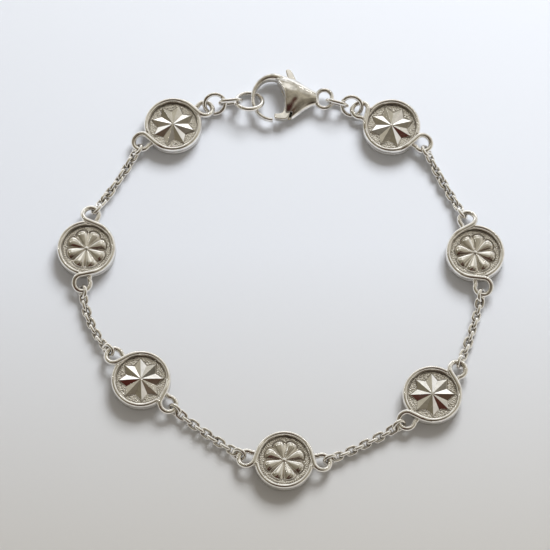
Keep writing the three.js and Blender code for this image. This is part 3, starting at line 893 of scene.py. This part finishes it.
class BRACELET_OT_clasp(bpy.types.Operator):
    """Make the lobster clasp: its hollowed body with hook and tail ring, and its lever"""
    bl_idname = "bracelet.clasp"
    bl_label = "Lobster clasp"

    def execute(self, context):
        settings = context.scene.bracelet_clasp
        voxel = settings.voxel / MM
        low, high = CLASP_LEVEL - SLOT_HEIGHT / 2, CLASP_LEVEL + SLOT_HEIGHT / 2
        body = carved(solid_object(clasp_shell()), [
            ("DIFFERENCE", slab(OPENING, *THROUGH)),
            ("UNION", solid_object(clasp_hook())),
            ("UNION", solid_object(clasp_lip())),
            ("UNION", solid_object(placed_ring(TAIL, 0, 24, 64))),
            ("DIFFERENCE", slab(SLOT, low, high)),
            ("UNION", disc(PIN, PIN_RADIUS, low - PIN_SEAT, high + PIN_SEAT)),
        ], voxel, settings.rounding)
        material = silver("clasp_silver")
        finish_piece("clasp_shell", body, "clasp_body", "bracelet", material)
        low, high = CLASP_LEVEL - LEVER_HEIGHT / 2, CLASP_LEVEL + LEVER_HEIGHT / 2
        hole = disc(PIN, PIN_HOLE, *THROUGH)
        plate = slab(rounded(LEVER, 2), low, high)
        lever = carved(plate, [("DIFFERENCE", hole)], voxel, settings.rounding)
        material = silver("lever_silver")
        finish_piece("clasp_gate", lever, "clasp_lever", "clasp_lever", material)
        return {"FINISHED"}


# ------ stage
def area_light(name, place, target, size, power, colour):
    """A rectangular light, turned to face a point."""
    light = bpy.data.lights.new(name, "AREA")
    light.shape, light.size, light.size_y = "RECTANGLE", *size
    light.energy, light.color = power, colour
    made = new_object(name, light)
    made.location = place
    made.rotation_euler = (Vector(target) - Vector(place)).to_track_quat("-Z", "Y").to_euler()
    return made


def towards(azimuth, elevation):
    """Unit vector at an azimuth from +X and a height over the floor, in degrees."""
    a, e = np.radians([azimuth, elevation])
    return (np.cos(e) * np.cos(a), np.cos(e) * np.sin(a), np.sin(e))


# The room: its ceiling on the left, on the right and at the far side, its walls, the window low in the
# far one and the dark side behind the camera; then what dull surfaces see, and what the camera sees.
LEFT, RIGHT, FAR = (0.17, 0.15, 0.108), (0.46, 0.427, 0.35), (0.44, 0.415, 0.345)
WALLS, WINDOW, BEHIND = (0.85, 0.84, 0.8), (1.35, 1.38, 1.42), (0.05, 0.034, 0.024)
EVEN, BACKDROP = (0.3, 0.285, 0.26), (0.8, 0.8, 0.82)
# What stands out in it: azimuth, elevation, reach and soft edge in degrees, and colour.
PATCHES = [
    (90, 58, 8, 5, (0.98, 0.97, 0.92)),
    (-117, 57, 9, 5, (0.065, 0.016, 0.012)),
    (-32, 56, 13, 6, (0.2, 0.18, 0.14)),
    (-63, 58, 7, 4, (0.08, 0.05, 0.035)),
    (-90, 66, 5, 4, (0.2, 0.19, 0.16)),
    (-3, 50, 5, 4, (0.12, 0.11, 0.09)),
    (10, 42, 6, 4, (0.65, 0.63, 0.6)),
    (75, 42, 10, 5, (0.62, 0.6, 0.54)),
    (46, 52, 8, 6, (0.66, 0.64, 0.58)),
    (135, 56, 6, 4, (0.6, 0.58, 0.52)),
    (36, 31, 6, 5, (0.9, 0.91, 0.92)),
    (73, 23, 4, 3, (1.7, 1.73, 1.76)),
    (90, 18, 5, 3, (2.0, 2.04, 2.1)),
    (92, 34, 5, 3, (1.25, 1.27, 1.29)),
    (106, 22, 4, 3, (1.5, 1.53, 1.56)),
    (121, 23, 3, 2, (1.1, 1.12, 1.15)),
    (-100, 76, 7, 5, (0.04, 0.01, 0.008)),
    (-10, 85, 4, 4, (0.07, 0.03, 0.022)),
    (150, 50, 0.8, 0.7, (14.0, 14.3, 14.6)),
    (60, 38, 0.8, 0.7, (14.0, 14.3, 14.6)),
]


def room(world):
    """The room that the metal mirrors: a ceiling that is brown on the left and pale on the right and at
    the far side (+Y), light walls, a window low down at the far side, and a dark side behind the
    camera down to near the horizon, each set off by a ramp of the direction's X, Y or Z and broken by
    the patches. The camera itself sees a plain backdrop, and dull surfaces an even grey."""
    nodes = Nodes(world)
    way = nodes.make("ShaderNodeTexCoord", output="Generated")
    x, y, z = (nodes.make("ShaderNodeSeparateXYZ", {}, {0: way}, axis) for axis in "XYZ")

    def patch(azimuth, elevation, reach, soft):
        """1 within reach of a direction and 0 beyond reach and soft together, in degrees."""
        near = nodes.make("ShaderNodeVectorMath", {"operation": "DOT_PRODUCT"},
                          {0: way, 1: towards(azimuth, elevation)}, "Value")
        return nodes.ramp(near, np.cos(np.radians(reach + soft)), np.cos(np.radians(reach)))

    aside = nodes.make("ShaderNodeMath", {"operation": "ABSOLUTE"}, {0: x}, "Value")
    inside = nodes.mix(nodes.ramp(x, -0.6, 0.55), LEFT, RIGHT)
    inside = nodes.mix(nodes.ramp(y, 0.27, 0.47), inside, FAR)
    inside = nodes.mix(1 - nodes.ramp(z, 0.15, 0.4), inside, WALLS)
    inside = nodes.mix(nodes.ramp(y * 0.7 - z, 0.15, 0.3), inside, WINDOW)
    behind = (1 - nodes.ramp(y + aside * 0.6, -0.28, -0.15)) * nodes.ramp(z, 0.3, 0.5)
    inside = nodes.mix(behind, inside, BEHIND)
    for *place, colour in PATCHES:
        inside = nodes.mix(patch(*place), inside, colour)
    dull = nodes.make("ShaderNodeLightPath", output="Is Diffuse Ray")
    seen = nodes.make("ShaderNodeLightPath", output="Is Camera Ray")
    colour = nodes.mix(seen, nodes.mix(dull, inside, EVEN), BACKDROP)
    shader = nodes.make("ShaderNodeBackground", {}, {"Color": colour})
    nodes.make("ShaderNodeOutputWorld", {}, {"Surface": shader})


FLOOR_HALF = 3.0       # half width of the floor, in metres
# Painted shadow: the floor darkens to this colour towards the camera.
FLOOR_PAINTED_SHADOW = (0.66, 0.625, 0.57)       # colour of the floor towards the camera
AIM = (-1.006, 0.967, 1.1)             # where the camera looks
SENSOR = 36            # width of the camera's sensor


class BRACELET_OT_stage(bpy.types.Operator):
    """Make the floor, the soft light, the room and the camera"""
    bl_idname = "bracelet.stage"
    bl_label = "Stage"

    def execute(self, context):
        settings = context.scene.bracelet_stage
        mesh = bpy.data.meshes.new("floor")
        corners = [(x * FLOOR_HALF, y * FLOOR_HALF, 0) for x, y in ((-1, -1), (1, -1), (1, 1), (-1, 1))]
        mesh.from_pydata(corners, [], [(0, 1, 2, 3)])
        floor = new_object("floor", mesh)
        material = bpy.data.materials.new("floor_with_painted_shadow")
        nodes = Nodes(material)
        place = nodes.make("ShaderNodeTexCoord", output="Object")
        y = nodes.make("ShaderNodeSeparateXYZ", {}, {0: place}, "Y")
        # Painted shadow: darker towards the camera.
        colour = nodes.mix(nodes.ramp(y, -0.055, 0.005), FLOOR_PAINTED_SHADOW, settings.floor)
        shader = nodes.make("ShaderNodeBsdfPrincipled", {}, {"Base Color": colour, "Roughness": 0.75})
        nodes.make("ShaderNodeOutputMaterial", {}, {"Surface": shader})
        mesh.materials.append(material)

        world = bpy.data.worlds.new("room")
        context.scene.world = world
        room(world)
        window = area_light(
            "window", place=(0.12, 0.32, 0.26), target=(0, 0, 0), size=(0.24, 0.18), power=2.18,
            colour=(0.9, 0.945, 1.0))
        window.visible_glossy = False

        camera = new_object("camera", bpy.data.cameras.new("camera"))
        camera.data.lens, camera.data.sensor_width = settings.lens, SENSOR
        target = Vector(np.array(AIM) + SHIFT) * MM
        way = Vector((0, -np.cos(settings.elevation), np.sin(settings.elevation)))
        camera.location = target + way * settings.distance
        camera.rotation_euler = (-way).to_track_quat("-Z", "Y").to_euler()
        context.scene.camera = camera
        context.scene.view_settings.view_transform = "Standard"
        return {"FINISHED"}


class BRACELET_PT_panel(bpy.types.Panel):
    """The bracelet's pieces and settings"""
    bl_label = "Station bracelet"
    bl_idname = "BRACELET_PT_panel"
    bl_space_type = "VIEW_3D"
    bl_region_type = "UI"
    bl_category = "Bracelet"

    def draw(self, context):
        for made in OPERATORS:
            self.layout.operator(made.bl_idname)
        for name, group in SETTINGS.items():
            box = self.layout.box()
            for key in group.__annotations__:
                box.prop(getattr(context.scene, name), key)


SETTINGS = {
    "bracelet_medallions": MedallionSettings,
    "bracelet_chain": ChainSettings,
    "bracelet_clasp": ClaspSettings,
    "bracelet_finish": FinishSettings,
    "bracelet_stage": StageSettings,
}
OPERATORS = [
    BRACELET_OT_stage, BRACELET_OT_medallions, BRACELET_OT_chain, BRACELET_OT_rings, BRACELET_OT_clasp,
]
CLASSES = [*SETTINGS.values(), *OPERATORS, BRACELET_PT_panel]


def register():
    """Makes the classes and the settings known to Blender."""
    for made in CLASSES:
        bpy.utils.register_class(made)
    for name, group in SETTINGS.items():
        setattr(bpy.types.Scene, name, bpy.props.PointerProperty(type=group))


def unregister():
    """Takes them out again."""
    for name in SETTINGS:
        delattr(bpy.types.Scene, name)
    for made in reversed(CLASSES):
        bpy.utils.unregister_class(made)


def main():
    """Makes the bracelet and its stage."""
    register()
    bpy.ops.bracelet.stage()
    bpy.ops.bracelet.medallions()
    bpy.ops.bracelet.chain()
    bpy.ops.bracelet.rings()
    bpy.ops.bracelet.clasp()
    bpy.context.view_layer.update()


if __name__ == "__main__":
    main()
